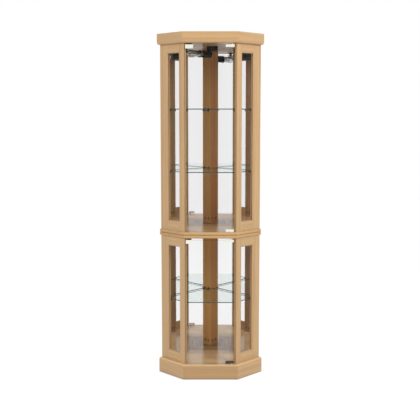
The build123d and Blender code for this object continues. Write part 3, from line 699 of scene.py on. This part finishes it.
# Heads: radius, height, radius of the recess and its outline
POST_FITTING_HEAD = (5.6 * MM, 2.2 * MM, 3.0 * MM, hexagon)
CLIP_SCREW_HEAD = (2.6 * MM, 0.8 * MM, 1.5 * MM, hexagon)
LATCH_SCREW_HEAD = (2.9 * MM, 1.6 * MM, 1.9 * MM, cross)


def screw_head(bm, centre, direction, radius, height, recess, shape):
    """A domed screw head on a face, with a recess."""
    axes = axes_along(direction)
    rings = [
        ring(bm, centre, axes, radius, -0.2 * MM),
        ring(bm, centre, axes, radius, height * 0.45),
        ring(bm, centre, axes, radius * 0.94, height * 0.8),
        ring(bm, centre, axes, radius * 0.8, height),
        ring(bm, centre, axes, recess, height, shape),
        ring(bm, centre, axes, recess * 0.9, height * 0.3, shape),
    ]
    loft(bm, rings)


def finish_piece(bm, name, material, body, smooth=False):
    """Makes an object of a mesh, which rides on a body."""
    bmesh.ops.recalc_face_normals(bm, faces=bm.faces)
    mesh = bpy.data.meshes.new(name)
    bm.to_mesh(mesh)
    bm.free()
    for polygon in mesh.polygons:
        polygon.use_smooth = smooth
    mesh.materials.append(material)
    piece = bpy.data.objects.new(name, mesh)
    scene.collection.objects.link(piece)
    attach(piece, body)


# Fittings of the posts: how deep a mirror sits in its grooves, and where the heads lie above the
# floor and beside the mirror, on the centre post and on a side post
MIRROR_IN_GROOVE = 8 * MM
FITTING_RISE = 25 * MM
CENTRE_FITTING_OUT = 14 * MM
SIDE_FITTING_OUT = 12.4 * MM


def room_corners(unit):
    """The right-hand mirror's two ends at the faces of its posts, at the height of the floor."""
    low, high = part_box(f"{unit}_right_mirror")
    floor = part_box(f"{unit}_floor_panel")[1].z
    hidden = MIRROR_IN_GROOVE / math.sqrt(2)
    rear = Vector((low.x + hidden, high.y - hidden, floor))
    front = Vector((high.x - hidden, low.y + hidden, floor))
    return rear, front


def post_fittings():
    """Socket heads of the fittings that hold each post to the floor."""
    out = Vector((-1, -1, 0)).normalized()
    along = Vector((1, -1, 0)).normalized()
    rise = Vector((0, 0, FITTING_RISE))
    for unit in UNITS:
        bm = bmesh.new()
        rear, front = room_corners(unit)
        on_centre_post = rear + out * CENTRE_FITTING_OUT + rise
        on_side_post = front + out * SIDE_FITTING_OUT + rise
        for side in (-1, 1):
            mirrored = Vector((side, 1, 1))
            screw_head(bm, on_centre_post * mirrored, along * mirrored, *POST_FITTING_HEAD)
            screw_head(bm, on_side_post * mirrored, -along * mirrored, *POST_FITTING_HEAD)
        finish_piece(bm, f"{unit}_post_fittings", blackened, "carcass")


# Clip screws, from the clip's inner end and from the edge of the glass
CLIP_SCREW_INSETS = (10 * MM, 32 * MM)
CLIP_SCREW_FROM_EDGE = 5.5 * MM


def clip_screws():
    """Two socket screws in the inner face of each hinge clip, which clamp it on the glass."""
    for unit in UNITS:
        bm = bmesh.new()
        low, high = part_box(f"{unit}_door_hinges")
        glass_low, glass_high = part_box(f"{unit}_door_glass")
        for height in (glass_low.z + CLIP_SCREW_FROM_EDGE, glass_high.z - CLIP_SCREW_FROM_EDGE):
            for inset in CLIP_SCREW_INSETS:
                centre = Vector((low.x + inset, high.y, height))
                screw_head(bm, centre, (0, 1, 0), *CLIP_SCREW_HEAD)
        finish_piece(bm, f"{unit}_clip_screws", steel, f"{unit}_door")


# Latch screws: from the plunger's middle, from the latch's front, and the flange that they hold
# under the top board
LATCH_SCREW_SIDE = 11.2 * MM
LATCH_SCREW_DEPTHS = (14 * MM, 46 * MM)
LATCH_FLANGE = 2.5 * MM
TOP_BOARD = 16.5 * MM


def latch_screws():
    """Cross-head screws through the flanges of the touch latches."""
    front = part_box("latch_bodies")[0].y
    for unit in UNITS:
        bm = bmesh.new()
        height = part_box(f"{unit}_top_panel")[1].z - TOP_BOARD - LATCH_FLANGE
        plunger_low, plunger_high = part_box(f"{unit}_latch_plunger")
        middle = (plunger_low.x + plunger_high.x) / 2
        for side in (-1, 1):
            for depth in LATCH_SCREW_DEPTHS:
                centre = Vector((middle + side * LATCH_SCREW_SIDE, front + depth, height))
                screw_head(bm, centre, (0, 0, -1), *LATCH_SCREW_HEAD)
        finish_piece(bm, f"{unit}_latch_screws", steel, "carcass")


def wire(bm, points, radius):
    """A round wire through points."""
    rings = []
    for step, point in enumerate(points):
        before = points[max(step - 1, 0)]
        after = points[min(step + 1, len(points) - 1)]
        rings.append(ring(bm, point, axes_along(after - before), radius))
    loft(bm, rings)


# Inside of the bulb, in millimetres from its rear end. The stem is given by places and radii
STEM_PROFILE = ((22.2, 9.0), (26, 6.5), (32, 3.6), (46, 2.6), (50, 3.4), (52, 2.0))
COIL_START = 60
COIL_LENGTH = 36
COIL_RADIUS = 1.1
COIL_TURNS = 14
STEPS_PER_TURN = 8
LEAD_RADIUS = 0.5 * MM
FILAMENT_RADIUS = 0.35 * MM


def bulb_inside():
    """The glass stem, the lead wires and the coiled filament inside the bulb."""
    start = lamp_start()
    axes = axes_along(LAMP_DIRECTION)
    across, upwards, axis = axes

    def at(reach, side=0.0, rise=0.0):
        return start + axis * (reach * MM) + across * (side * MM) + upwards * (rise * MM)

    stem = bmesh.new()
    loft(stem, [ring(stem, at(reach), axes, radius * MM) for reach, radius in STEM_PROFILE])
    finish_piece(stem, "bulb_stem", bulb_envelope, "carcass", smooth=True)
    wires = bmesh.new()
    for side, tip in ((-1, COIL_START), (1, COIL_START + COIL_LENGTH)):
        lead = [at(48, side * 1.8), at(54, side * 5), at(tip, side * 5.5), at(tip, side * 0.6)]
        wire(wires, lead, LEAD_RADIUS)
    steps = COIL_TURNS * STEPS_PER_TURN
    coil = []
    for step in range(steps + 1):
        angle = 2 * math.pi * step / STEPS_PER_TURN
        reach = COIL_START + COIL_LENGTH * step / steps
        coil.append(at(reach, COIL_RADIUS * math.cos(angle), COIL_RADIUS * math.sin(angle)))
    wire(wires, coil, FILAMENT_RADIUS)
    finish_piece(wires, "bulb_filament", tungsten, "carcass", smooth=True)


post_fittings()
clip_screws()
latch_screws()
bulb_inside()


# Studio

FLOOR_HALF = 30.0
FLOOR_GLOW = 0.92
CONTACT_DISTANCE = 12 * MM
SKY_STRENGTH = 0.5
LAMP_TARGET = (0, 0, 0.95)


def seen_directly(tree):
    """1 for what the camera, a reflection or a glass shows, and 0 for light on a surface."""
    path = add_node(tree, "ShaderNodeLightPath").outputs
    seen = calculate(tree, "MAXIMUM", path["Is Camera Ray"], path["Is Glossy Ray"])
    seen = calculate(tree, "MAXIMUM", seen, path["Is Transmission Ray"])
    return product(tree, seen, span(tree, path["Diffuse Depth"], 0, 1, 1, 0))


def floor_paper():
    """Pale paper that glows where it's seen. Just beside what stands on it, ambient occlusion cuts the
    glow, a painted contact shadow.
    """
    material, tree, surface = new_material("studio_floor")
    paper = noise(tree, object_coordinates(tree), scale=3, detail=2)
    shade = mix_colour(tree, paper, FLOOR_PAINT_DARK, FLOOR_PAINT_LIGHT)
    paint = shader(tree, "ShaderNodeBsdfDiffuse", {"Color": shade})
    bounce = shader(tree, "ShaderNodeBsdfDiffuse", {"Color": FLOOR_BOUNCE})
    seen = seen_directly(tree)
    distance = {"Distance": CONTACT_DISTANCE}
    # Ambient occlusion cuts the glow right beside the cabinet: a painted shadow
    contact = add_node(tree, "ShaderNodeAmbientOcclusion", distance, samples=8).outputs["AO"]
    strength = product(tree, product(tree, seen, FLOOR_GLOW), contact)
    glow = shader(tree, "ShaderNodeEmission", {"Strength": strength})
    sockets = {0: mix_shaders(tree, seen, bounce, paint), 1: glow}
    fill(tree, surface, shader(tree, "ShaderNodeAddShader", sockets))
    return material


def stage_floor():
    """A pale floor that reads as white and still takes the cabinet's soft shadow."""
    mesh = bpy.data.meshes.new("studio_floor")
    quarters = ((-1, -1), (1, -1), (1, 1), (-1, 1))
    corners = [(x * FLOOR_HALF, y * FLOOR_HALF, 0) for x, y in quarters]
    mesh.from_pydata(corners, [], [(0, 1, 2, 3)])
    mesh.materials.append(floor_paper())
    floor = bpy.data.objects.new("studio_floor", mesh)
    scene.collection.objects.link(floor)


def stage_world():
    """A soft even sky, white where it's seen."""
    world = bpy.data.worlds.new("studio")
    world.use_nodes = True
    tree = world.node_tree
    tree.nodes.clear()
    output = add_node(tree, "ShaderNodeOutputWorld")
    kind = "ShaderNodeBackground"
    soft = shader(tree, kind, {"Color": SKY_LIGHT, "Strength": SKY_STRENGTH})
    white = shader(tree, kind, {"Color": WHITE, "Strength": 1.0})
    fill(tree, output.inputs["Surface"], mix_shaders(tree, seen_directly(tree), soft, white))
    scene.world = world


def soft_box(name, place, width, power):
    """A square lamp at a place, which looks at the middle of the cabinet."""
    lamp = bpy.data.lights.new(name, "AREA")
    lamp.shape = "SQUARE"
    lamp.size = width
    lamp.energy = power
    holder = bpy.data.objects.new(name, lamp)
    holder.location = place
    towards = Vector(LAMP_TARGET) - Vector(place)
    holder.rotation_euler = towards.to_track_quat("-Z", "Y").to_euler()
    scene.collection.objects.link(holder)


stage_floor()
stage_world()
soft_box("key_right", place=(3.0, -2.6, 3.1), width=1.6, power=98)
soft_box("fill_left", place=(-3.0, -2.4, 2.9), width=1.8, power=59)

scene.view_settings.view_transform = "Standard"
scene.cycles.transparent_max_bounces = 48
scene.cycles.max_bounces = 16
scene.cycles.glossy_bounces = 8


# Camera: the photograph's standpoint, tilted down a little, with as much shift as its framing needs

PHOTO_WIDTH = 420
CAMERA_PLACE = (-0.0024, -4.184, 1.395)
CAMERA_FOCUS_PX = 781.4
CAMERA_TILT = math.radians(6.29)
CAMERA_SHIFT_PX = 11.3
SENSOR = 36.0

camera_data = bpy.data.cameras.new("camera")
camera_data.sensor_width = SENSOR
camera_data.lens = CAMERA_FOCUS_PX / PHOTO_WIDTH * SENSOR
camera_data.shift_y = -CAMERA_SHIFT_PX / PHOTO_WIDTH
camera = bpy.data.objects.new("camera", camera_data)
camera.location = CAMERA_PLACE
camera.rotation_euler = (math.radians(90) - CAMERA_TILT, 0, 0)
scene.collection.objects.link(camera)
scene.camera = camera
